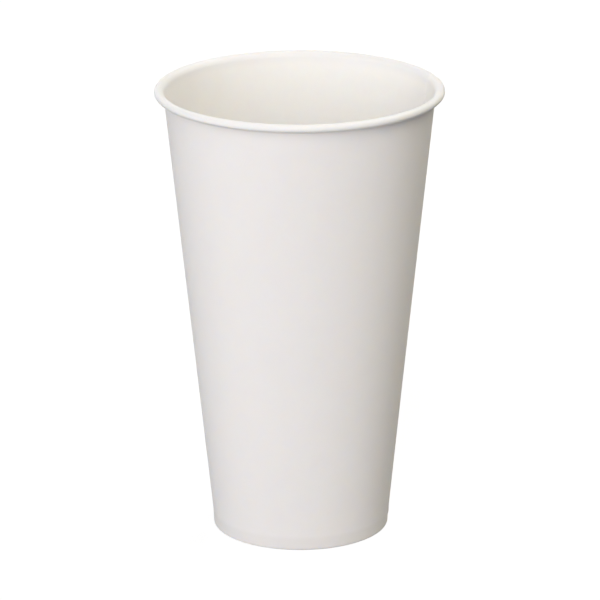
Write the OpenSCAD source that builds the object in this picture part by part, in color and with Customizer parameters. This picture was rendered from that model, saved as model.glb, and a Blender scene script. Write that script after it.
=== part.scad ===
// Single-wall paper cup with a rolled rim, a lapped side seam and a hemmed foot.
// Two pieces of coated board: a fan-shaped blank wrapped into the side wall, and a disc
// drawn into a floor whose skirt is clamped between the wall and the wall's hem.
// Both are drawn as sheets: a middle line through the section, given half a thickness each side.

/* [Cup] */
// Outside diameter over the rolled rim
rim_d = 90; // [82:0.5:98]
// Height from the table to the top of the rim
cup_h = 143; // [110:1:160]
// Outside diameter at the foot, where it stands
base_d = 55.3; // [50:0.1:62]

/* [Board] */
// Thickness of the board of the side wall
board_t = 0.35; // [0.25:0.01:0.4]
// Thickness of the board of the floor
floor_t = 0.3; // [0.2:0.01:0.4]
// Clearance that the sealing film takes up between two layers at the foot
seal_gap = 0.04; // [0.02:0.01:0.08]

/* [Rolled rim] */
// Width of the roll, from the inner face of the wall to the outermost point
curl_w = 3.2; // [2.9:0.05:3.6]
// Height of the roll, from its lip to the top of the cup
curl_h = 2.45; // [2.3:0.05:2.8]
// How far the cut edge turns up inside the roll, past its lowest point
curl_tail = 95; // [60:5:105]

/* [Foot] */
// Height of the pressed band round the foot, up to the crease that it leaves
band_h = 4.2; // [3:0.1:6]
// Lean of the pressed band, less than that of the wall
band_lean = 2.6; // [1:0.1:4]
// Height of the hem's cut edge above the table
hem_h = 6; // [4:0.1:7]
// Height of the floor's underside above the table
recess_h = 8; // [7.5:0.1:14]
// Radius of the floor's drawn edge, on the middle of its board
floor_edge_r = 0.8; // [0.5:0.05:1.2]
// Clearance under the cut edge of the floor's skirt
skirt_gap = 0.1; // [0.1:0.05:0.5]

/* [Side seam] */
// Width of the lap, where the wall is two boards thick
lap_w = 8; // [5:0.5:10]
// Length over which the outer board steps down off the lap
lap_ramp = 1.5; // [0.8:0.1:2.5]
// Height over which the outer board thins out towards the pressed fold
lap_fade = 1.2; // [0.8:0.1:2]
// Direction of the seam, from +X towards +Y
seam_angle = 12; // [0:1:359]

/* [Hidden] */

$fn = 96;
// Largest distance between a bend of the section and its chords
chord_error = 0.006;
// Stretches along the seam of the wall, of its lap, its ramp and its two margins
wall_steps = 6;
lap_steps = 4;
ramp_steps = 3;
margin_steps = 3;
// Inner radius left inside the fold of the hem
fold_gap = 0.08;
// Half-length of the soft bend at the crease
crease_soft = 0.4;
// Length over which a cut edge of the lap rises
edge_rise = 0.05;
// How far the seam strip's ends lie within the section that they join, and how far they run
// past its cut faces, as a turn
join_inset = 0.01;
join_turn = 0.4;
// Turn from the seam strip's widest part to the faces that it joins
margin_turn = 1;
// Heading at which the roll's shoulder passes into its crown
shoulder_end = 30;
// Shares of the roll's height that its crown takes, and of its lip that its tail takes
crown_share = 0.55;
tail_share = 0.7;
// Least radius left inside the tail where the board is doubled
tail_gap = 0.05;

// Bends of the roll, on the middle of the board, and the lean of the wall below it. The lean
// is taken first to the underside of the roll, which is near enough to shape the shoulder.
crease_r = base_d / 2 + band_h * tan(band_lean);
wall_top_r = rim_d / 2 - curl_w + board_t;
first_lean = atan((wall_top_r - crease_r) / (cup_h - curl_h - band_h));
crown_r = crown_share * (curl_h - board_t);
lip_r = curl_h - board_t - crown_r;
tail_r = max(tail_share * lip_r, 1.5 * board_t + tail_gap);
shoulder_r = (curl_w - board_t - crown_r * (1 + sin(shoulder_end)))
    / (cos(first_lean) - sin(shoulder_end));
roll_start_z = cup_h - board_t / 2 - crown_r * (1 - cos(shoulder_end))
    - shoulder_r * (cos(shoulder_end) - sin(first_lean));
wall_lean = atan((wall_top_r - crease_r) / (roll_start_z - band_h));
mid_lean = (wall_lean + band_lean) / 2;

// Depths of the middles of the three layers below the outer face of the foot
wall_depth = board_t / 2;
skirt_depth = board_t + seal_gap + floor_t / 2;
hem_depth = board_t + 2 * seal_gap + floor_t + board_t / 2;
fold_r = board_t / 2 + fold_gap;
fade_end_z = board_t + lap_fade;

// Where the lap's cut edges stand off its middle, and the half-angle that clears the ramp
lap_edge = lap_w / 2;
step_edge = lap_edge + edge_rise;
ramp_end = step_edge + lap_ramp;
strip_half = asin(ramp_end / (base_d / 2 - hem_depth - 2 * board_t)) + margin_turn;

// A sheet's middle line is a list of [point, heading]. The heading turns anticlockwise from
// outwards, and the board's outer face lies to the right of the way that the line runs.
function face_normal(heading) = [sin(heading), -cos(heading)];
function along(heading) = [cos(heading), sin(heading)];
function last_point(path) = path[len(path) - 1][0];

// The places round a bend of radius r, after the place that it starts from
function bend(start, from, to, r) =
    let (steps = ceil(abs(to - from) / (2 * acos(1 - chord_error / r))))
    [
        for (i = [1 : steps])
            let (turn = from + (to - from) * i / steps)
            [start + sign(to - from) * r * [sin(turn) - sin(from), cos(from) - cos(turn)], turn]
    ];

// Where a layer of the foot or wall lies, at a height and a depth below the outer face
function layer_r(z, depth) = z < band_h
    ? base_d / 2 + z * tan(band_lean) - depth / cos(band_lean)
    : crease_r + (z - band_h) * tan(wall_lean) - depth / cos(wall_lean);

// The soft bend of a layer at the crease, on the way up and on the way down
function crease_point(depth) = [crease_r, band_h]
    - depth / cos(mid_lean - band_lean) * [cos(mid_lean), -sin(mid_lean)];
function crease_up(depth) = [
    [crease_point(depth) - crease_soft * along(90 - band_lean), 90 - band_lean],
    [crease_point(depth), 90 - mid_lean],
    [crease_point(depth) + crease_soft * along(90 - wall_lean), 90 - wall_lean]
];
function crease_down(depth) = [
    for (i = [2 : -1 : 0]) [crease_up(depth)[i][0], crease_up(depth)[i][1] - 180]
];

// The hem, from its cut edge down to the fold
function hem_path() =
    let (
        corner_z = board_t / 2 + fold_r * (1 + sin(band_lean)),
        above = hem_h > band_h + 2 * crease_soft,
        top_lean = above ? wall_lean : band_lean
    )
    concat(
        [[[layer_r(hem_h, hem_depth), hem_h], -90 - top_lean]],
        above ? crease_down(hem_depth) : [],
        [for (z = [fade_end_z, corner_z]) [[layer_r(z, hem_depth), z], -90 - band_lean]]
    );

// The fold under the foot, with a narrow flat land between its two bends
function fold_path(start) =
    let (
        rise_z = board_t / 2 + fold_r * (1 - sin(band_lean)),
        land_end = [layer_r(rise_z, wall_depth) - fold_r * cos(band_lean), board_t / 2]
    )
    concat(
        bend(start, -90 - band_lean, 0, fold_r),
        [[land_end, 0]],
        bend(land_end, 0, 90 - band_lean, fold_r)
    );

// The wall, from the fold to the start of the roll, its straight part in a number of steps
function wall_path(steps) =
    let (
        crease = crease_up(wall_depth),
        low = last_point(crease),
        high = [wall_top_r - board_t / 2, roll_start_z]
    )
    concat(
        [[[layer_r(fade_end_z, wall_depth), fade_end_z], 90 - band_lean]],
        crease,
        [for (i = [1 : steps]) [low + (high - low) * i / steps, 90 - wall_lean]]
    );

// The roll, outwards and down from the top of the wall and up again inside itself
function roll_path(start) =
    let (
        shoulder = bend(start, 90 - wall_lean, shoulder_end, shoulder_r),
        top = bend(last_point(shoulder), shoulder_end, 0, crown_r),
        crown = bend(last_point(top), 0, -90, crown_r),
        lip = bend(last_point(crown), -90, -180, lip_r),
        tail = bend(last_point(lip), -180, -180 - curl_tail, tail_r)
    )
    concat(shoulder, top, crown, lip, tail);

// The whole middle line of the side wall, from the cut edge of the hem to that of the roll
function sidewall_path(steps) =
    let (
        hem = hem_path(),
        fold = fold_path(last_point(hem)),
        wall = wall_path(steps),
        roll = roll_path(last_point(wall))
    )
    concat(hem, fold, wall, roll);

// The middle line of the floor, from the axis out to its edge and down the skirt
function floor_path() =
    let (
        floor_z = recess_h + floor_t / 2,
        skirt_z = floor_z - floor_edge_r * (1 + sin(wall_lean)),
        edge_r = layer_r(skirt_z, skirt_depth) - floor_edge_r * cos(wall_lean),
        end_z = board_t + skirt_gap
    )
    concat(
        [[[0, floor_z], 0], [[edge_r, floor_z], 0]],
        bend([edge_r, floor_z], 0, -90 - wall_lean, floor_edge_r),
        crease_down(skirt_depth),
        [[[layer_r(end_z, skirt_depth), end_z], -90 - band_lean]]
    );

// The outline of a sheet: its outer face one way and its inner face back
function sheet_outline(path, thickness) = concat(
    [for (place = path) place[0] + thickness / 2 * face_normal(place[1])],
    [for (i = [len(path) - 1 : -1 : 0]) path[i][0] - thickness / 2 * face_normal(path[i][1])]
);

// The same line with both cut edges drawn back a little
function drawn_back(path, by) = [
    for (i = [0 : len(path) - 1])
        let (toward = i == 0 ? 1 : i == len(path) - 1 ? -1 : 0)
        [path[i][0] + toward * by * along(path[i][1]), path[i][1]]
];

// Stations across the seam: [distance off its middle, share of the way to the strip's end,
// boards under its inner face, boards under its outer face]. Past a share of 1 it is in the join.
function seam_stations() = concat(
    [[-step_edge, -2, 0, 0]],
    [for (i = [margin_steps : -1 : 0]) [-step_edge, -i / margin_steps, 0, 0]],
    [for (i = [0 : lap_steps]) [lap_edge * (2 * i / lap_steps - 1), 0, 0, 1]],
    [
        for (i = [0 : ramp_steps])
            let (boards = (1 + cos(180 * i / ramp_steps)) / 2)
            [step_edge + lap_ramp * i / ramp_steps, 0, boards, boards]
    ],
    [for (i = [1 : margin_steps]) [ramp_end, i / margin_steps, 0, 0]],
    [[ramp_end, 2, 0, 0]]
);

// One point of the strip. Side is 1 on the board's outer face and -1 on its inner face.
function strip_point(place, station, boards, side, inset) =
    let (
        fade = min(1, max(0, (place[0][1] - board_t / 2 - fold_r) / lap_fade)),
        out = board_t * (boards * fade + side / 2) - side * inset,
        flat = place[0] + out * face_normal(place[1]),
        swing = min(1, abs(station[1])),
        turn = asin(station[0] / flat[0]) * (1 - swing)
            + (strip_half - join_turn) * sign(station[1]) * swing
            + 2 * join_turn * sign(station[1]) * (abs(station[1]) - swing)
    )
    [flat[0] * cos(turn), flat[0] * sin(turn), flat[1]];

// The seam, as the wall's section carried across the lap in one skin
module seam_strip() {
    path = drawn_back(sidewall_path(wall_steps), join_inset);
    stations = seam_stations();
    count = len(path);
    ring = 2 * count;
    ends = len(stations) - 1;
    points = [
        for (station = stations)
            let (inset = abs(station[1]) < 1 ? 0 : join_inset)
            for (i = [0 : ring - 1])
                i < count
                    ? strip_point(path[i], station, station[3], 1, inset)
                    : strip_point(path[ring - 1 - i], station, station[2], -1, inset)
    ];
    sides = [
        for (j = [0 : ends - 1], i = [0 : ring - 1])
            let (next = (i + 1) % ring)
            [j * ring + i, j * ring + next, (j + 1) * ring + next, (j + 1) * ring + i]
    ];
    first_cap = [for (i = [0 : count - 2]) [ring - 1 - i, ring - 2 - i, i + 1, i]];
    last_cap = [for (face = first_cap) [for (i = [3 : -1 : 0]) face[i] + ends * ring]];
    polyhedron(points, concat(sides, first_cap, last_cap));
}

// The side wall: hem, fold, wall and roll in one piece of board, closed by the lapped seam
module sidewall() {
    color([0.93, 0.91, 0.9])
    rotate([0, 0, seam_angle])
    union() {
        rotate([0, 0, strip_half])
        rotate_extrude(angle = 360 - 2 * strip_half)
        polygon(sheet_outline(sidewall_path(1), board_t));
        seam_strip();
    }
}

// The floor: a disc drawn over a round edge into a skirt that stands between wall and hem
module bottom_disc() {
    color([0.93, 0.9, 0.86])
    rotate_extrude()
    polygon(sheet_outline(floor_path(), floor_t));
}

sidewall();
bottom_disc();
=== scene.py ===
"""A plain white paper cup, stood on a white studio floor.

The cup is two pieces of board. The side wall is one blank, wound round the cup and lapped over
itself at the seam, with its top edge rolled and its foot turned up into a knurled hem. The floor
is a disc, drawn over a round edge into a skirt that the hem clamps against the wall.
"""

from __future__ import annotations

import logging
import math
from dataclasses import dataclass, field
from enum import IntEnum

import bmesh
import bpy
from mathutils import Matrix, Quaternion, Vector, noise

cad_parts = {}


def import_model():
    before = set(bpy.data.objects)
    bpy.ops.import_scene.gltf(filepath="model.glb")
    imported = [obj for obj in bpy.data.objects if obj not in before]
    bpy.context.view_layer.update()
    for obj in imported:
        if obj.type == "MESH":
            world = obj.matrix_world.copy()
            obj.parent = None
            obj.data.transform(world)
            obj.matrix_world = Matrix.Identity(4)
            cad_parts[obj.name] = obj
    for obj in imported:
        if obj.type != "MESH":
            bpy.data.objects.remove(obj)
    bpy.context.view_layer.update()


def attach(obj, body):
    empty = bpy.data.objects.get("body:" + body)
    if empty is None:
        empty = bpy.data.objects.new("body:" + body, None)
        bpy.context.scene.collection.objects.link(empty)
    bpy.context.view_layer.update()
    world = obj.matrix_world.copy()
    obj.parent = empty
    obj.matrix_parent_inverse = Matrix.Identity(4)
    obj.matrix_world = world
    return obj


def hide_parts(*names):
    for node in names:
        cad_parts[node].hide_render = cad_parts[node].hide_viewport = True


MM = 0.001
QUARTER = math.pi / 2
FULL = 2 * math.pi
ORIGIN = (0, 0, 0)
UPWARDS = (0, 0, 1)
BODY = "root"

Colour = tuple[float, float, float, float]
Tint = tuple[float, float, float]
WHITE: Colour = (1, 1, 1, 1)

log = logging.getLogger("cup")


class BoardFace(IntEnum):
    """The faces of a sheet of board, numbered as the material slots of its piece."""

    OUTER = 0
    DRINK = 1
    CUT = 2


def clamp(value: float) -> float:
    """Keeps a value between 0 and 1."""
    return min(1.0, max(0.0, value))


def ease(share: float) -> float:
    """Falls smoothly from 1, at a share of 0 or less, to 0, at a share of 1 or more."""
    return (1 + math.cos(math.pi * clamp(share))) / 2


@dataclass(frozen=True)
class CupSizes:
    """The cup's driving sizes, in metres and radians, and what follows from them.

    Attributes:
        rim_r: Outer radius of the rolled rim.
        height: Height over the rim.
        base_r: Outer radius of the foot.
        board_t: Thickness of the wall's board.
        floor_t: Thickness of the floor's board.
        seal_gap: Clearance at each sealed layer of the foot.
        curl_w: Width of the roll, from the wall's inner face to the lip.
        curl_h: Height of the roll.
        curl_tail: How far the roll's tail turns up inside it.
        crown_share: Share of the roll's height that the crown's bend takes.
        tail_share: Share of the lip's radius that the tail's bend has.
        shoulder_end: Slope of the board where the shoulder goes over into the crown.
        band_h: Height of the pressed foot, up to the crease.
        band_lean: Lean of the pressed foot.
        crease_bend: Radius of the soft bend at the crease, on the middle of the board.
        hem_h: Height of the hem's cut edge.
        fold_gap: Radius of the fold's inner face.
        recess_h: Height of the floor's underside.
        floor_edge_r: Radius of the floor's drawn edge, on the middle of the board.
        skirt_gap: Clearance between the skirt's cut edge and the fold.
        lap_w: Width of the side seam's lap.
        lap_ramp: Width over which the outer board steps down past the inner edge.
        lap_fade: Height over which the lap thins out above the fold.
        seam_angle: Where the seam stands, from +X towards +Y.
    """

    rim_r: float = 45 * MM
    height: float = 143 * MM
    base_r: float = 27.65 * MM
    board_t: float = 0.35 * MM
    floor_t: float = 0.3 * MM
    seal_gap: float = 0.04 * MM
    curl_w: float = 3.2 * MM
    curl_h: float = 2.45 * MM
    curl_tail: float = math.radians(95)
    crown_share: float = 0.55
    tail_share: float = 0.7
    shoulder_end: float = math.radians(30)
    band_h: float = 4.2 * MM
    band_lean: float = math.radians(2.6)
    crease_bend: float = 13 * MM
    hem_h: float = 6 * MM
    fold_gap: float = 0.08 * MM
    recess_h: float = 8 * MM
    floor_edge_r: float = 0.8 * MM
    skirt_gap: float = 0.1 * MM
    lap_w: float = 8 * MM
    lap_ramp: float = 1.5 * MM
    lap_fade: float = 1.2 * MM
    seam_angle: float = math.radians(12)

    @property
    def crease_r(self) -> float:
        """Radius of the wall's outer face at the crease over the pressed foot."""
        return self.base_r + self.band_h * math.tan(self.band_lean)

    @property
    def wall_top_r(self) -> float:
        """Radius of the wall's outer face where the roll starts."""
        return self.rim_r - self.curl_w + self.board_t

    @property
    def first_lean(self) -> float:
        """Lean of the wall taken to the underside of the roll, which shapes the shoulder."""
        rise = self.height - self.curl_h - self.band_h
        return math.atan((self.wall_top_r - self.crease_r) / rise)

    @property
    def crown_r(self) -> float:
        """Radius of the roll's crown, on the middle of the board."""
        return self.crown_share * (self.curl_h - self.board_t)

    @property
    def lip_r(self) -> float:
        """Radius of the roll's lip, on the middle of the board."""
        return self.curl_h - self.board_t - self.crown_r

    @property
    def shoulder_r(self) -> float:
        """Radius of the roll's shoulder, which carries the wall over into the crown."""
        reach = self.curl_w - self.board_t - self.crown_r * (1 + math.sin(self.shoulder_end))
        return reach / (math.cos(self.first_lean) - math.sin(self.shoulder_end))

    @property
    def roll_start_z(self) -> float:
        """Height at which the straight wall ends and the roll starts.

        Returns:
            The height above the table.
        """
        over_shoulder = math.cos(self.shoulder_end) - math.sin(self.first_lean)
        over_crown = 1 - math.cos(self.shoulder_end)
        rise = self.shoulder_r * over_shoulder + self.crown_r * over_crown
        return self.height - self.board_t / 2 - rise

    @property
    def wall_lean(self) -> float:
        """Lean of the wall between the crease and the roll."""
        rise = self.roll_start_z - self.band_h
        return math.atan((self.wall_top_r - self.crease_r) / rise)

    @property
    def fold_r(self) -> float:
        """Radius of the two bends of the hem's fold, on the middle of the board."""
        return self.board_t / 2 + self.fold_gap

    @property
    def fold_top(self) -> float:
        """Height at which the fold has turned up into the wall and the hem."""
        return self.board_t / 2 + self.fold_r

    @property
    def wall_depth(self) -> float:
        """Depth of the wall's middle below its outer face."""
        return self.board_t / 2

    @property
    def skirt_depth(self) -> float:
        """Depth of the middle of the floor's skirt below the foot's outer face."""
        return self.board_t + self.seal_gap + self.floor_t / 2

    @property
    def hem_depth(self) -> float:
        """Depth of the hem's middle below the foot's outer face."""
        return 1.5 * self.board_t + 2 * self.seal_gap + self.floor_t

    def layer(self, z: float, depth: float) -> Vector:
        """Finds where a layer of the foot or wall lies.

        Args:
            z: Height above the table.
            depth: Depth of the layer below the outer face.

        Returns:
            The point in the XZ plane.
        """
        if z < self.band_h:
            x = self.base_r + z * math.tan(self.band_lean) - depth / math.cos(self.band_lean)
        else:
            rise = (z - self.band_h) * math.tan(self.wall_lean)
            x = self.crease_r + rise - depth / math.cos(self.wall_lean)
        return Vector((x, 0, z))

    def crease(self, depth: float) -> Vector:
        """Finds the corner of a layer at the crease over the pressed foot.

        Args:
            depth: Depth of the layer below the outer face.

        Returns:
            The point in the XZ plane.
        """
        lean = (self.wall_lean + self.band_lean) / 2
        inwards = Vector((-math.cos(lean), 0, math.sin(lean)))
        corner = Vector((self.crease_r, 0, self.band_h))
        return corner + inwards * depth / math.cos(lean - self.band_lean)


@dataclass
class SectionPen:
    """Draws the middle line of a sheet in the XZ plane, out of straights and bends.

    Attributes:
        bm: The bmesh that is drawn in.
        start: Where the line starts.
        heading: The way it runs, anticlockwise from +X.
        chord_error: How far a bend's edges may lie off its arc.
        tip: The vertex that the line has come to.
    """

    bm: bmesh.types.BMesh
    start: Vector
    heading: float
    chord_error: float = 0.006 * MM
    tip: bmesh.types.BMVert = field(init=False)

    def __post_init__(self) -> None:
        """Puts the pen down at its start."""
        self.tip = bmesh.ops.create_vert(self.bm, co=self.start)["vert"][0]

    def line_to(self, end: Vector, pieces: int = 1) -> None:
        """Draws a straight line.

        Args:
            end: Where the line ends.
            pieces: How many edges it has.
        """
        step = (end - self.tip.co) / pieces
        for _ in range(pieces):
            self.tip = bmesh.ops.extrude_vert_indiv(self.bm, verts=[self.tip])["verts"][0]
            bmesh.ops.translate(self.bm, verts=[self.tip], vec=step)

    def bend(self, radius: float, turn: float) -> None:
        """Draws an arc that leaves the line smooth.

        Args:
            radius: Radius of the arc.
            turn: How far the heading turns, positive anticlockwise.
        """
        left = Vector((-math.sin(self.heading), 0, math.cos(self.heading)))
        centre = self.tip.co + math.copysign(radius, turn) * left
        chord = 2 * math.acos(1 - self.chord_error / radius)
        made = bmesh.ops.spin(
            self.bm, geom=[self.tip], cent=centre, axis=(0, -1, 0), angle=turn,
            steps=math.ceil(abs(turn) / chord))
        self.tip = next(g for g in made["geom_last"] if isinstance(g, bmesh.types.BMVert))
        self.heading += turn

    def round_corner(self, corner: Vector, radius: float, turn: float, pieces: int = 1) -> None:
        """Draws a line towards a corner and rounds it.

        Args:
            corner: Where the straights on both sides of the bend would meet.
            radius: Radius of the bend.
            turn: How far the heading turns, positive anticlockwise.
            pieces: How many edges the line has.
        """
        ahead = Vector((math.cos(self.heading), 0, math.sin(self.heading)))
        self.line_to(corner - radius * math.tan(abs(turn) / 2) * ahead, pieces)
        self.bend(radius, turn)


def settle_faces(bm: bmesh.types.BMesh, probe: Vector, outwards: Vector) -> None:
    """Makes all the faces of a wound sheet agree.

    Args:
        bm: The sheet, before it gets its thickness.
        probe: A place on or near the sheet.
        outwards: The way out of the sheet's outer face there.
    """
    bmesh.ops.recalc_face_normals(bm, faces=bm.faces[:])
    nearest = min(bm.faces, key=lambda face: (face.calc_center_median() - probe).length_squared)
    if nearest.normal.dot(outwards) < 0:
        bmesh.ops.reverse_faces(bm, faces=bm.faces[:])
    bm.normal_update()


def thicken(bm: bmesh.types.BMesh, thickness: float) -> list[bmesh.types.BMVert]:
    """Gives a sheet half its thickness on each side, and sorts its faces into their slots.

    Args:
        bm: The sheet, with normals that point out of its outer face.
        thickness: Thickness of the board.

    Returns:
        The vertices of the outer face.
    """
    bm.normal_update()
    outer = bm.verts[:]
    for vert in outer:
        vert.co += vert.normal * thickness / 2
    bmesh.ops.solidify(bm, geom=bm.faces[:], thickness=thickness)
    known = set(outer)
    for face in bm.faces:
        shared = len(known.intersection(face.verts))
        if shared == len(face.verts):
            face.material_index = BoardFace.OUTER
        else:
            face.material_index = BoardFace.CUT if shared else BoardFace.DRINK
    return outer


def make_piece(bm: bmesh.types.BMesh, name: str, sharp: float) -> bpy.types.Object:
    """Turns a finished bmesh into an object that sits at the origin.

    Args:
        bm: The bmesh, which is freed.
        name: Name of the piece.
        sharp: Edges that turn by more than this stay sharp.

    Returns:
        The object, linked to the scene.
    """
    mesh = bpy.data.meshes.new(name)
    bm.to_mesh(mesh)
    bm.free()
    mesh.shade_smooth()
    mesh.set_sharp_from_angle(angle=sharp)
    piece = bpy.data.objects.new(name, mesh)
    bpy.context.scene.collection.objects.link(piece)
    log.info("%s: %d faces", name, len(mesh.polygons))
    return piece


class Shade:
    """A node's output, on which shader maths is written as Python expressions."""

    def __init__(self, tree: FinishTree, port: bpy.types.NodeSocket | None) -> None:
        """Wraps an output.

        Args:
            tree: The node tree that the output belongs to.
            port: The output, or None for a node that has none.
        """
        self.tree = tree
        self.port = port

    def maths(self, operation: str, left: Shade | float, right: Shade | float) -> Shade:
        """Adds one Math node.

        Args:
            operation: The node's operation.
            left: Its first value.
            right: Its second value.

        Returns:
            The node's output.
        """
        return self.tree.add("ShaderNodeMath", {"operation": operation}, {0: left, 1: right})

    def __add__(self, other: Shade | float) -> Shade:
        """Adds a value."""
        return self.maths("ADD", self, other)

    def __radd__(self, other: float) -> Shade:
        """Is added to a number."""
        return self.maths("ADD", other, self)

    def __sub__(self, other: Shade | float) -> Shade:
        """Takes a value away."""
        return self.maths("SUBTRACT", self, other)

    def __rsub__(self, other: float) -> Shade:
        """Is taken away from a number."""
        return self.maths("SUBTRACT", other, self)

    def __mul__(self, other: Shade | float) -> Shade:
        """Multiplies by a value."""
        return self.maths("MULTIPLY", self, other)

    def __rmul__(self, other: float) -> Shade:
        """Multiplies a number."""
        return self.maths("MULTIPLY", other, self)


class FinishTree:
    """The node tree of a material or of the world."""

    def __init__(self, owner: bpy.types.Material | bpy.types.World) -> None:
        """Starts with an empty tree.

        Args:
            owner: What the tree belongs to.
        """
        owner.use_nodes = True
        self.nodes = owner.node_tree.nodes
        self.links = owner.node_tree.links
        self.nodes.clear()

    def add(
        self,
        kind: str,
        settings: dict[str, object] | None = None,
        sockets: dict[str | int, Shade | float | tuple] | None = None,
        output: str | int = 0,
    ) -> Shade:
        """Adds a node of any kind.

        Args:
            kind: The node's type.
            settings: Its properties, set before its sockets.
            sockets: Values or links for its inputs, by name or number.
            output: Which output is wanted.

        Returns:
            The wanted output.
        """
        node = self.nodes.new(kind)
        for name, value in (settings or {}).items():
            setattr(node, name, value)
        for name, value in (sockets or {}).items():
            if isinstance(value, Shade):
                self.links.new(value.port, node.inputs[name])
            else:
                node.inputs[name].default_value = value
        return Shade(self, node.outputs[output] if node.outputs else None)

    def grain(self, size: Vector, detail: float) -> Shade:
        """Makes a noise that is fixed to the object.

        Args:
            size: Rough size of its blots along each axis, in metres.
            detail: How many finer octaves it has.

        Returns:
            The noise, from 0 to 1 and mostly near one half.
        """
        place = self.add("ShaderNodeTexCoord", output="Object")
        scale = tuple(1 / length for length in size)
        spot = self.add("ShaderNodeMapping", {}, {"Vector": place, "Scale": scale})
        return self.add("ShaderNodeTexNoise", {}, {"Vector": spot, "Scale": 1.0, "Detail": detail})

    def blend(
        self, first: Shade | Colour, second: Shade | Colour, share: Shade | float
    ) -> Shade:
        """Mixes two colours.

        Args:
            first: The colour at a share of 0.
            second: The colour at a share of 1.
            share: How much of the second colour there is.

        Returns:
            The mixed colour.
        """
        first_colour, second_colour, mixed_colour = 6, 7, 2
        sockets = {"Factor": share, first_colour: first, second_colour: second}
        return self.add("ShaderNodeMix", {"data_type": "RGBA"}, sockets, output=mixed_colour)

    def seen(self) -> Shade:
        """Tells whether the eye sees this place, straight or by way of gloss or glass.

        Returns:
            1 where it does, and 0 where the place only gives light.
        """
        kind = "ShaderNodeLightPath"
        straight = self.add(kind, output="Is Camera Ray")
        gloss = self.add(kind, output="Is Glossy Ray")
        glass = self.add(kind, output="Is Transmission Ray")
        return straight.maths("MINIMUM", straight + gloss + glass, 1.0)


@dataclass(frozen=True)
class PaintedShadeZone:
    """A zone of the board, by height, with painted shade: its colour is made darker there.

    Attributes:
        colour: The colour of the painted shade.
        share: How far that colour takes over.
        start_z: Height at which the change starts.
        full_z: Height at which it is complete, above or below the start.
    """

    colour: Colour
    share: float
    start_z: float
    full_z: float

    def reach(self, tree: FinishTree) -> Shade:
        """Tells how far the zone's colour has taken over.

        Args:
            tree: The material's tree.

        Returns:
            The share of the zone's colour.
        """
        place = tree.add("ShaderNodeTexCoord", output="Object")
        height = tree.add("ShaderNodeSeparateXYZ", {}, {"Vector": place}, output="Z")
        return tree.add("ShaderNodeMapRange", {"interpolation_type": "SMOOTHSTEP"}, {
            "Value": height, "From Min": self.start_z, "From Max": self.full_z,
            "To Max": self.share})


# Stretch of a grain's blots along each axis
UPRIGHT_GRAIN = Vector((1, 1, 4))
LEVEL_GRAIN = Vector((3, 3, 1))
EVEN_GRAIN = Vector((1, 1, 1))


@dataclass(frozen=True)
class BoardFinish:
    """The finish of one face of the board: fibres under more or less of a film.

    Attributes:
        name: Name of the material.
        pale: Colour between the fibres.
        deep: Colour of the fibres and clouds.
        roughness: Middle of the roughness.
        roughness_spread: How much the roughness varies with the fibres.
        specular: Level of the gloss.
        fibre: Size of the fibres.
        fibre_relief: How far they stand up.
        cloud: Size of the board's soft unevenness.
        cloud_relief: How far that stands up.
        fibre_detail: Finer octaves in the fibres.
        cloud_detail: Finer octaves in the clouds.
        depth: How deep light gets into the board.
        depth_colour: Share of that depth that red, green and blue light reach.
        painted_shade: The zone of painted shade, where the face has one.
    """

    name: str
    pale: Colour
    deep: Colour
    roughness: float
    roughness_spread: float
    specular: float
    fibre: float
    fibre_relief: float
    cloud: float
    cloud_relief: float
    fibre_detail: float = 4
    cloud_detail: float = 3
    depth: float = 0.05 * MM
    depth_colour: Tint = (1.0, 0.9, 0.75)
    painted_shade: PaintedShadeZone | None = None

    def make(self) -> bpy.types.Material:
        """Builds the material.

        Returns:
            The material, fixed to the object's own place.
        """
        material = bpy.data.materials.new(self.name)
        tree = FinishTree(material)
        upright = tree.grain(UPRIGHT_GRAIN * self.fibre, self.fibre_detail)
        level = tree.grain(LEVEL_GRAIN * self.fibre, self.fibre_detail)
        fibres = 0.5 * (upright + level)
        clouds = tree.grain(EVEN_GRAIN * self.cloud, self.cloud_detail)
        relief = fibres * self.fibre_relief + clouds * self.cloud_relief
        bump = tree.add("ShaderNodeBump", {}, {"Strength": 1.0, "Distance": 1.0, "Height": relief})
        colour = tree.blend(self.pale, self.deep, 0.5 * (clouds + fibres))
        # Painted shade: the zone's darker colour mixed in by height
        if self.painted_shade is not None:
            colour = tree.blend(colour, self.painted_shade.colour, self.painted_shade.reach(tree))
        shader = tree.add("ShaderNodeBsdfPrincipled", {}, {
            "Base Color": colour,
            "Roughness": self.roughness + self.roughness_spread * (fibres - 0.5),
            "Specular IOR Level": self.specular,
            "Subsurface Weight": 1.0,
            "Subsurface Radius": self.depth_colour,
            "Subsurface Scale": self.depth,
            "Normal": bump,
        })
        tree.add("ShaderNodeOutputMaterial", {}, {"Surface": shader})
        return material


# Painted shade: the outer face made darker over the pressed foot, below the crease
PAINTED_FOOT_SHADE = PaintedShadeZone(
    colour=(0.83, 0.80, 0.788, 1), share=0.7, start_z=5 * MM, full_z=3.2 * MM)
# Painted shade: the film made darker and greyer over the rolled rim, whose top the lamps light
# strongly
PAINTED_ROLL_SHADE = PaintedShadeZone(
    colour=(0.868, 0.856, 0.858, 1), share=0.8, start_z=138.5 * MM, full_z=141.5 * MM)

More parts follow.
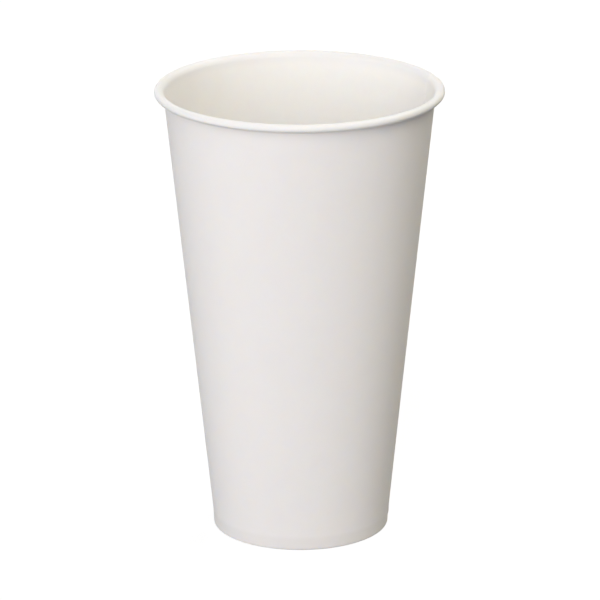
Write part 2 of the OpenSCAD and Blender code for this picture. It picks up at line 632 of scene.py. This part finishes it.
FINISHES = {
    BoardFace.OUTER: BoardFinish(
        name="uncoated_board", pale=(0.90, 0.87, 0.865, 1), deep=(0.86, 0.83, 0.825, 1),
        roughness=0.85, roughness_spread=0.2, specular=0.08,
        fibre=0.25 * MM, fibre_relief=0.006 * MM, cloud=7 * MM, cloud_relief=0.02 * MM,
        painted_shade=PAINTED_FOOT_SHADE),
    BoardFace.DRINK: BoardFinish(
        name="film_coated_board", pale=(0.945, 0.918, 0.894, 1), deep=(0.915, 0.888, 0.864, 1),
        roughness=0.5, roughness_spread=0.16, specular=0.15,
        fibre=0.6 * MM, fibre_relief=0.004 * MM, cloud=5 * MM, cloud_relief=0.02 * MM,
        painted_shade=PAINTED_ROLL_SHADE),
    BoardFace.CUT: BoardFinish(
        name="cut_board_edge", pale=(0.86, 0.82, 0.78, 1), deep=(0.74, 0.69, 0.64, 1),
        roughness=0.9, roughness_spread=0.2, specular=0.08,
        fibre=0.08 * MM, fibre_relief=0.02 * MM, cloud=2 * MM, cloud_relief=0.01 * MM),
}


def dress(piece: bpy.types.Object, node: str) -> None:
    """Gives a piece the finishes of its board's faces, and puts it in place of its node.

    Args:
        piece: The piece.
        node: The node that it stands for.
    """
    for face in BoardFace:
        finish = FINISHES[face]
        piece.data.materials.append(bpy.data.materials.get(finish.name) or finish.make())
    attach(piece, BODY)
    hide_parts(node)


@dataclass
class SideWall:
    """The side wall: one blank wound once round the cup and on over itself at the lap.

    Attributes:
        sizes: The cup's sizes.
        wall_pieces: Edges up the straight wall.
        hem_pieces: Edges up each straight of the foot.
        knurls: Ridges round the hem.
        steps_per_knurl: Rings of vertices to a ridge at the lap. Elsewhere there are half as many.
        knurl_depth: Depth of the grooves between the ridges.
        knurl_fade: Height over which the ridges run out at each end.
        film: Clearance between the two boards of the lap.
        wave_depth: Depth of the deepest waves of the wall.
        wave_length: Rough length of a wave round the cup.
        wave_stretch: How much longer a wave is up the wall.
        straight_end: Turn from the seam within which the blank is slid straight.
        sharp: Edges that turn by more than this stay sharp.
    """

    sizes: CupSizes
    wall_pieces: int = 12
    hem_pieces: int = 2
    knurls: int = 120
    steps_per_knurl: int = 8
    knurl_depth: float = 0.06 * MM
    knurl_fade: float = 0.6 * MM
    film: float = 0.01 * MM
    wave_depth: float = 0.05 * MM
    wave_length: float = 26 * MM
    wave_stretch: float = 3.0
    straight_end: float = math.radians(25)
    sharp: float = math.radians(40)

    def draw_section(self, bm: bmesh.types.BMesh) -> None:
        """Draws the blank's middle line, from the hem's cut edge to the roll's.

        Args:
            bm: The empty bmesh to draw in.
        """
        s = self.sizes
        middle = s.board_t / 2
        crease = s.wall_lean - s.band_lean
        knurl_top = s.layer(s.hem_h - self.knurl_fade, s.hem_depth)
        knurl_foot = s.layer(s.fold_top + self.knurl_fade, s.hem_depth)

        pen = SectionPen(bm, s.layer(s.hem_h, s.hem_depth), -QUARTER - s.wall_lean)
        pen.line_to(knurl_top)
        pen.round_corner(s.crease(s.hem_depth), s.crease_bend, crease)
        pen.line_to(knurl_foot, self.hem_pieces)
        pen.round_corner(s.layer(middle, s.hem_depth), s.fold_r, QUARTER + s.band_lean)
        pen.round_corner(s.layer(middle, s.wall_depth), s.fold_r, QUARTER - s.band_lean)
        pen.line_to(s.layer(s.fold_top + s.lap_fade, s.wall_depth), self.hem_pieces)
        pen.round_corner(s.crease(s.wall_depth), s.crease_bend, -crease)
        pen.line_to(Vector((s.wall_top_r - middle, 0, s.roll_start_z)), self.wall_pieces)
        pen.bend(s.shoulder_r, s.shoulder_end - (QUARTER - s.wall_lean))
        pen.bend(s.crown_r, -s.shoulder_end)
        pen.bend(s.crown_r, -QUARTER)
        pen.bend(s.lip_r, -QUARTER)
        pen.bend(s.tail_share * s.lip_r, -s.curl_tail)

    @property
    def step(self) -> float:
        """Smallest turn between two rings of vertices."""
        return FULL / (self.knurls * self.steps_per_knurl)

    @property
    def edge_turn(self) -> float:
        """Turn from the middle of the lap to a cut edge, at the top of the wall."""
        return math.asin(self.sizes.lap_w / 2 / self.sizes.wall_top_r)

    def wind(self, bm: bmesh.types.BMesh) -> bmesh.types.BMLayerItem:
        """Winds the section round the axis, finely over the lap and twice as coarsely elsewhere.

        Args:
            bm: The bmesh that holds the section.

        Returns:
            The vertex layer that says how far round the blank each vertex is.
        """
        s = self.sizes
        steps_round = self.knurls * self.steps_per_knurl
        ramp_turn = math.asin((s.lap_w / 2 + s.lap_ramp) / s.wall_top_r)
        fine = 2 * math.ceil((self.edge_turn + ramp_turn) / self.step / 2)
        coarse = (steps_round - fine) // 2
        lap = round(2 * self.edge_turn / self.step)
        sweeps = [
            (fine, fine * self.step), (coarse, 2 * coarse * self.step), (lap, 2 * self.edge_turn)]

        per_ring = len(bm.verts)
        start = -self.edge_turn
        bmesh.ops.rotate(bm, verts=bm.verts[:], matrix=Matrix.Rotation(start, 3, "Z"))
        ring = bm.verts[:] + bm.edges[:]
        turns = [start]
        for steps, angle in sweeps:
            made = bmesh.ops.spin(
                bm, geom=ring, cent=ORIGIN, axis=UPWARDS, angle=angle, steps=steps)
            ring = made["geom_last"]
            start = turns[-1]
            turns += [start + angle * (i + 1) / steps for i in range(steps)]
        layer = bm.verts.layers.float.new("turn")
        for index, vert in enumerate(bm.verts):
            vert[layer] = turns[index // per_ring]
        return layer

    def straighten_lap(self, bm: bmesh.types.BMesh, layer: bmesh.types.BMLayerItem) -> None:
        """Slides what is near the lap round the wall, so that the lap's edges run parallel.

        Args:
            bm: The wound bmesh.
            layer: The vertex layer of turns.
        """
        for vert in bm.verts:
            turn = vert[layer] - (FULL if vert[layer] > math.pi else 0)
            if abs(turn) < self.straight_end:
                across = self.sizes.wall_top_r * math.sin(turn)
                slide = math.asin(across / vert.co.xy.length) - turn
                share = ease(abs(turn) / self.straight_end)
                vert.co.rotate(Quaternion(UPWARDS, slide * share))

    def lift(self, turn: float, z: float) -> float:
        """Finds how far out the blank lies at the start of its winding, where it is on top.

        Args:
            turn: How far round the blank the place is.
            z: Height above the table.

        Returns:
            The distance, which falls off past the lap and towards the pressed fold.
        """
        s = self.sizes
        if turn > QUARTER:
            return 0.0
        past_lap = (s.wall_top_r * math.sin(turn) - s.lap_w / 2) / s.lap_ramp
        over_fold = clamp((z - s.fold_top) / s.lap_fade)
        return ease(past_lap) * (over_fold * s.board_t + self.film)

    def dent(self, place: Vector) -> float:
        """Finds how far the wall sinks in, in the faint waves of a wound board.

        Args:
            place: The place on the wall.

        Returns:
            The depth, which is none at the foot and the roll.
        """
        s = self.sizes
        share = clamp((place.z - s.hem_h) / (s.roll_start_z - s.hem_h))
        spot = Vector((place.x, place.y, place.z / self.wave_stretch)) / self.wave_length
        return self.wave_depth * math.sin(math.pi * share) * (1 + noise.noise(spot)) / 2

    def shape_sheet(self, bm: bmesh.types.BMesh, layer: bmesh.types.BMLayerItem) -> None:
        """Lays the blank's start over its end and gives the wall its waves.

        Args:
            bm: The wound bmesh.
            layer: The vertex layer of turns.
        """
        moves = [
            vert.normal * (self.lift(vert[layer], vert.co.z) - self.dent(vert.co))
            for vert in bm.verts]
        for vert, move in zip(bm.verts, moves):
            vert.co += move

    def press_knurls(
        self, outer: list[bmesh.types.BMVert], layer: bmesh.types.BMLayerItem
    ) -> None:
        """Presses the hem's face towards the axis into upright ridges.

        Args:
            outer: The vertices of the board's outer face.
            layer: The vertex layer of turns.
        """
        s = self.sizes
        for vert in outer:
            window = clamp((s.hem_h - vert.co.z) / self.knurl_fade)
            window *= clamp((vert.co.z - s.fold_top) / self.knurl_fade)
            radius = vert.co.xy.length
            if window > 0 and radius < s.layer(vert.co.z, s.hem_depth).x:
                phase = self.knurls * (vert[layer] + self.edge_turn)
                depth = self.knurl_depth * window * (1 - math.cos(phase)) / 2
                vert.co.xy *= 1 + depth / radius

    def build(self) -> bpy.types.Object:
        """Builds the side wall.

        Returns:
            The finished piece.
        """
        s = self.sizes
        bm = bmesh.new()
        self.draw_section(bm)
        layer = self.wind(bm)
        settle_faces(bm, s.layer(s.height / 2, s.wall_depth), Vector((1, 0, 0)))
        self.straighten_lap(bm, layer)
        self.shape_sheet(bm, layer)
        outer = thicken(bm, s.board_t)
        self.press_knurls(outer, layer)
        bmesh.ops.rotate(bm, verts=bm.verts[:], matrix=Matrix.Rotation(s.seam_angle, 3, "Z"))
        piece = make_piece(bm, "sidewall_board", self.sharp)
        dress(piece, "sidewall")
        return piece


@dataclass
class CupFloor:
    """The floor: a disc drawn over a round edge into the skirt that the hem clamps.

    Attributes:
        sizes: The cup's sizes.
        segments: Edges round the disc.
        floor_pieces: Edges from the axis to the drawn edge.
        puckers: Puckers round the drawn edge.
        pucker_depth: Depth of a pucker.
        pucker_reach: How far the puckers run in over the floor.
        merge_gap: Vertices nearer than this are one, which closes the disc at its axis.
        sharp: Edges that turn by more than this stay sharp.
    """

    sizes: CupSizes
    segments: int = 384
    floor_pieces: int = 10
    puckers: int = 96
    pucker_depth: float = 0.02 * MM
    pucker_reach: float = 2.5 * MM
    merge_gap: float = 0.003 * MM
    sharp: float = math.radians(40)

    def draw_section(self, bm: bmesh.types.BMesh) -> None:
        """Draws the disc's middle line, from the axis to the cut edge of the skirt.

        Args:
            bm: The empty bmesh to draw in.
        """
        s = self.sizes
        z = s.recess_h + s.floor_t / 2
        pen = SectionPen(bm, Vector((0, 0, z)), 0)
        turn = -QUARTER - s.wall_lean
        pen.round_corner(s.layer(z, s.skirt_depth), s.floor_edge_r, turn, self.floor_pieces)
        pen.round_corner(s.crease(s.skirt_depth), s.crease_bend, s.wall_lean - s.band_lean)
        pen.line_to(s.layer(s.board_t + s.skirt_gap, s.skirt_depth))

    def pucker(self, bm: bmesh.types.BMesh) -> None:
        """Gathers the drawn edge into fine radial puckers.

        Args:
            bm: The wound bmesh.
        """
        s = self.sizes
        edge_r = s.layer(s.recess_h, s.skirt_depth).x
        for vert in bm.verts:
            share = ease((edge_r - vert.co.xy.length) / self.pucker_reach)
            wave = math.cos(self.puckers * math.atan2(vert.co.y, vert.co.x))
            vert.co -= vert.normal * self.pucker_depth * share * wave / 2

    def build(self) -> bpy.types.Object:
        """Builds the floor.

        Returns:
            The finished piece.
        """
        s = self.sizes
        bm = bmesh.new()
        self.draw_section(bm)
        bmesh.ops.spin(
            bm, geom=bm.verts[:] + bm.edges[:], cent=ORIGIN, axis=UPWARDS, angle=FULL,
            steps=self.segments, use_merge=True)
        bmesh.ops.remove_doubles(bm, verts=bm.verts[:], dist=self.merge_gap)
        middle = s.layer(s.recess_h, s.skirt_depth) / 2
        settle_faces(bm, Vector((middle.x, 0, s.recess_h)), Vector((0, 0, -1)))
        self.pucker(bm)
        thicken(bm, s.floor_t)
        piece = make_piece(bm, "floor_board", self.sharp)
        dress(piece, "bottom_disc")
        return piece


def direction(azimuth: float, elevation: float) -> Vector:
    """Gives the way from the cup towards a lamp or the camera.

    Args:
        azimuth: Degrees round the cup, from the camera's side towards the picture's right.
        elevation: Degrees above the table.

    Returns:
        A vector of length 1.
    """
    a = math.radians(azimuth)
    e = math.radians(elevation)
    return Vector((math.sin(a) * math.cos(e), -math.cos(a) * math.cos(e), math.sin(e)))


@dataclass(frozen=True)
class Softbox:
    """A square lamp that faces the cup.

    Attributes:
        name: Name of the lamp.
        azimuth: Degrees round the cup, as direction() takes them.
        elevation: Degrees above the table.
        power: Power in watts.
        tint: Colour of the light.
        size: Side of the square.
        distance: Distance from the middle of the cup.
    """

    name: str
    azimuth: float
    elevation: float
    power: float
    tint: Tint = (1, 1, 1)
    size: float = 1.5
    distance: float = 2.5

    def hang(self, target: Vector) -> None:
        """Adds the lamp.

        Args:
            target: What it faces.
        """
        data = bpy.data.lights.new(self.name, "AREA")
        data.size = self.size
        data.energy = self.power
        data.color = self.tint
        lamp = bpy.data.objects.new(self.name, data)
        way = direction(self.azimuth, self.elevation)
        lamp.location = target + way * self.distance
        lamp.rotation_euler = (-way).to_track_quat("-Z", "Y").to_euler()
        bpy.context.scene.collection.objects.link(lamp)


@dataclass
class Studio:
    """A white table, soft lamps and the camera at the photograph's viewing angle.

    Attributes:
        cup_height: Height of the cup.
        floor_size: Side of the square table.
        floor_colour: Colour of the table in the light that it throws back on the cup.
        floor_glow: Strength at which the table shows white, wherever light falls.
        shadow_colour: Colour in which it shows the light that falls on it, and so the shadow.
        ambient_strength: Strength of the light from all round.
        camera_distance: Distance of the camera from the middle of the cup.
        camera_elevation: Degrees above the table at which it stands.
        camera_roll: Turn of the camera about its line of sight.
        focal_length: Focal length in millimetres.
        aim_above: How far above the middle of the cup the camera aims.
        aim_left: How far to the left of it.
        softboxes: The lamps.
    """

    cup_height: float
    floor_size: float = 8.0
    floor_colour: Colour = (0.3, 0.3, 0.3, 1)
    floor_glow: float = 0.86
    shadow_colour: Colour = (0.2, 0.2, 0.2, 1)
    ambient_strength: float = 0.02
    camera_distance: float = 1.376
    camera_elevation: float = 18.13
    camera_roll: float = math.radians(-0.165)
    focal_length: float = 262.6
    aim_above: float = 1.918 * MM
    aim_left: float = 0.057 * MM
    softboxes: tuple[Softbox, ...] = (
        Softbox("key_softbox", azimuth=-20, elevation=12, power=42),
        Softbox("upper_softbox", azimuth=-5, elevation=42, power=23),
        Softbox("left_softbox", azimuth=-100, elevation=12, power=14),
        Softbox("rear_left_softbox", azimuth=-150, elevation=15, power=10),
        Softbox("right_softbox", azimuth=90, elevation=45, power=20.5, tint=(1, 0.93, 0.74)),
        Softbox("back_softbox", azimuth=150, elevation=50, power=27),
    )

    def lay_floor(self) -> None:
        """Lays the table, which shows white and keeps the cup's shadow."""
        bm = bmesh.new()
        bmesh.ops.create_grid(bm, x_segments=1, y_segments=1, size=self.floor_size / 2)
        mesh = bpy.data.meshes.new("studio_floor")
        bm.to_mesh(mesh)
        bm.free()
        floor = bpy.data.objects.new("studio_floor", mesh)
        bpy.context.scene.collection.objects.link(floor)
        material = bpy.data.materials.new("white_table")
        tree = FinishTree(material)
        plain = tree.add("ShaderNodeBsdfDiffuse", {}, {"Color": self.floor_colour})
        glow = tree.add("ShaderNodeEmission", {}, {"Strength": self.floor_glow})
        shaded = tree.add("ShaderNodeBsdfDiffuse", {}, {"Color": self.shadow_colour})
        white = tree.add("ShaderNodeAddShader", {}, {0: glow, 1: shaded})
        both = tree.add("ShaderNodeMixShader", {}, {"Fac": tree.seen(), 1: plain, 2: white})
        tree.add("ShaderNodeOutputMaterial", {}, {"Surface": both})
        mesh.materials.append(material)

    def fill_world(self) -> None:
        """Gives the cup even light from all round, and the picture its white background."""
        world = bpy.data.worlds.new("white_studio")
        tree = FinishTree(world)
        light = tree.add(
            "ShaderNodeBackground", {}, {"Color": WHITE, "Strength": self.ambient_strength})
        white = tree.add("ShaderNodeBackground", {}, {"Color": WHITE, "Strength": 1.0})
        both = tree.add("ShaderNodeMixShader", {}, {"Fac": tree.seen(), 1: light, 2: white})
        tree.add("ShaderNodeOutputWorld", {}, {"Surface": both})
        bpy.context.scene.world = world

    def place_camera(self) -> None:
        """Places the camera as far off and as high as it stood for the photograph."""
        data = bpy.data.cameras.new("camera")
        data.lens = self.focal_length
        camera = bpy.data.objects.new("camera", data)
        middle = Vector((0, 0, self.cup_height / 2))
        back = direction(0, self.camera_elevation)
        up = Vector((1, 0, 0)).cross(-back)
        aim = middle + self.aim_above * up - self.aim_left * Vector((1, 0, 0))
        camera.location = middle + self.camera_distance * back
        look = (aim - camera.location).to_track_quat("-Z", "Y")
        camera.rotation_euler = (look @ Quaternion(UPWARDS, self.camera_roll)).to_euler()
        scene = bpy.context.scene
        scene.collection.objects.link(camera)
        scene.camera = camera
        scene.view_settings.view_transform = "Standard"

    def build(self) -> None:
        """Sets up the whole studio."""
        self.lay_floor()
        self.fill_world()
        for softbox in self.softboxes:
            softbox.hang(Vector((0, 0, self.cup_height / 2)))
        self.place_camera()


def main() -> None:
    """Builds the cup and its studio."""
    logging.basicConfig(level=logging.INFO, format="%(name)s: %(message)s")
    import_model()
    sizes = CupSizes()
    SideWall(sizes).build()
    CupFloor(sizes).build()
    Studio(sizes.height).build()


if __name__ == "__main__":
    main()
